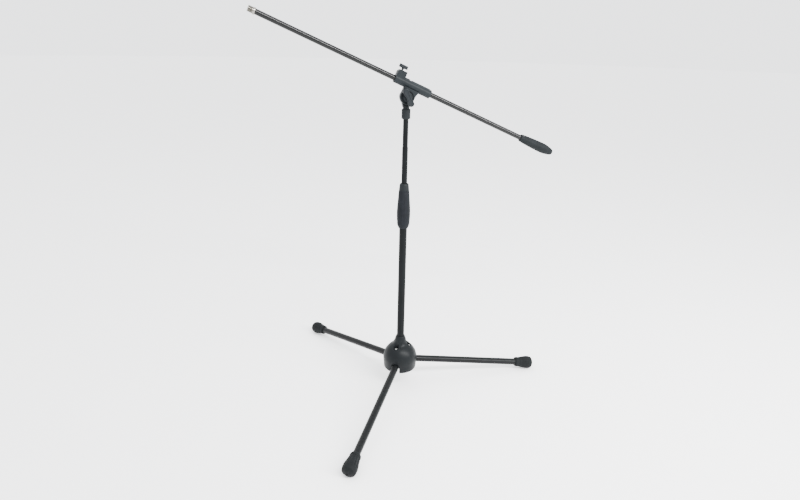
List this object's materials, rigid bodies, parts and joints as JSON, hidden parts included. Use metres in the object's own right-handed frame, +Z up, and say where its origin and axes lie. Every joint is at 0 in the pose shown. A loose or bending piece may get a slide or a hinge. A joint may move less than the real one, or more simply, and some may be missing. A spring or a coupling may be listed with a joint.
{
  "type": "boom microphone stand",
  "caption": "Folding tripod floor stand with a telescopic clutch mast, a tilting clamp and a counterweighted boom that ends in a threaded adapter.",
  "frame": {"origin": "on the floor, on the mast's axis", "axes": "+Z up the mast; leg 1 along +X; the boom lies in the XZ plane with its thread towards -X and its counterweight towards +X"},
  "size_m": [0.8584, 0.8008, 1.1029],
  "materials": {
    "black_tube": "gloss black coated steel",
    "black_rubber": "matte rubber",
    "grey_nylon": "fine grained slate grey",
    "black_nylon": "satin black",
    "black_casting": "black coated metal",
    "zinc_steel": "zinc plated",
    "nickel": "nickel plated",
    "brass": "machined"
  },
  "bodies": {
    "stand": {"hub_dome": "grey_nylon", "hub_carrier": "black_casting", "hub_screws": "zinc_steel", "base_bolt": "zinc_steel", "base_washer": "zinc_steel", "tube_plug": "zinc_steel", "lower_tube": "black_tube", "clutch_ferrule": "black_nylon", "clutch_collet": "black_nylon", "leg_1_pin": "zinc_steel", "leg_2_pin": "zinc_steel", "leg_3_pin": "zinc_steel"},
    "leg_1": {"leg_1_knuckle": "black_nylon", "leg_1_tube": "black_tube", "leg_1_foot": "black_rubber"},
    "leg_2": {"leg_2_knuckle": "black_nylon", "leg_2_tube": "black_tube", "leg_2_foot": "black_rubber"},
    "leg_3": {"leg_3_knuckle": "black_nylon", "leg_3_tube": "black_tube", "leg_3_foot": "black_rubber"},
    "clutch": {"clutch_nut": "grey_nylon", "clutch_grip": "black_rubber"},
    "mast_guide": {"tube_guide": "black_nylon"},
    "mast_upper": {"upper_tube": "black_tube", "top_rod": "black_tube", "top_stud": "zinc_steel", "swivel_base": "grey_nylon", "thread_insert": "brass", "tilt_bolt": "zinc_steel", "friction_washer": "black_nylon"},
    "boom_holder": {"boom_holder": "grey_nylon"},
    "boom": {"boom_tube": "black_tube", "thread_adapter": "nickel", "counterweight": "zinc_steel", "boom_grip": "black_rubber"},
    "clamp_pad": {"clamp_pad": "black_nylon"},
    "clamp_screw": {"clamp_screw": "black_casting", "clamp_handle": "black_nylon"},
    "knob_washer": {"knob_washer": "zinc_steel"},
    "tilt_knob": {"tilt_knob": "grey_nylon", "knob_insert": "brass"}
  },
  "joints": [
    {"name": "leg_1_fold", "type": "hinge", "parent": "stand", "child": "leg_1", "pos_m": [0.03, 0, 0.08575], "axis": [0, 1, 0], "range_deg": [0, 80]},
    {"name": "leg_2_fold", "type": "hinge", "parent": "stand", "child": "leg_2", "pos_m": [-0.015, 0.02598, 0.08575], "axis": [-0.866, -0.5, 0], "range_deg": [0, 80]},
    {"name": "leg_3_fold", "type": "hinge", "parent": "stand", "child": "leg_3", "pos_m": [-0.015, -0.02598, 0.08575], "axis": [0.866, -0.5, 0], "range_deg": [0, 80]},
    {"name": "clutch_turn", "type": "hinge", "parent": "stand", "child": "clutch", "pos_m": [0, 0, 0.586], "axis": [0, 0, 1], "range_deg": [0, 120]},
    {"name": "mast_slide", "type": "slide", "parent": "stand", "child": "mast_guide", "axis": [0, 0, 1], "range_m": [-0.035, 0.42]},
    {"name": "mast_turn", "type": "hinge", "parent": "mast_guide", "child": "mast_upper", "pos_m": [0, 0, 0.142], "axis": [0, 0, 1], "continuous": true},
    {"name": "boom_tilt", "type": "hinge", "parent": "mast_upper", "child": "boom_holder", "pos_m": [0, 0, 0.888], "axis": [0, 1, 0], "range_deg": [-100, 60]},
    {"name": "boom_slide", "type": "slide", "parent": "boom_holder", "child": "boom", "axis": [-0.9164, 0, 0.4003], "range_m": [-0.22, 0.28]},
    {"name": "clamp_pad_slide", "type": "slide", "parent": "boom_holder", "child": "clamp_pad", "axis": [0.4003, 0, 0.9164], "range_m": [0, 0.0014]},
    {"name": "clamp_screw_turn", "type": "hinge", "parent": "clamp_pad", "child": "clamp_screw", "pos_m": [-0.01566, 0, 0.95082], "axis": [0.4003, 0, 0.9164], "range_deg": [0, 630]},
    {"name": "knob_washer_slide", "type": "slide", "parent": "mast_upper", "child": "knob_washer", "axis": [0, -1, 0], "range_m": [0, 0.00139]},
    {"name": "tilt_knob_turn", "type": "hinge", "parent": "knob_washer", "child": "tilt_knob", "pos_m": [0, -0.02, 0.888], "axis": [0, -1, 0], "range_deg": [0, 400]}
  ],
  "couplings": [
    {"joint": "clamp_screw_turn", "follows": "clamp_pad_slide", "rad_per_m": 7854},
    {"joint": "tilt_knob_turn", "follows": "knob_washer_slide", "rad_per_m": 5026.5}
  ]
}
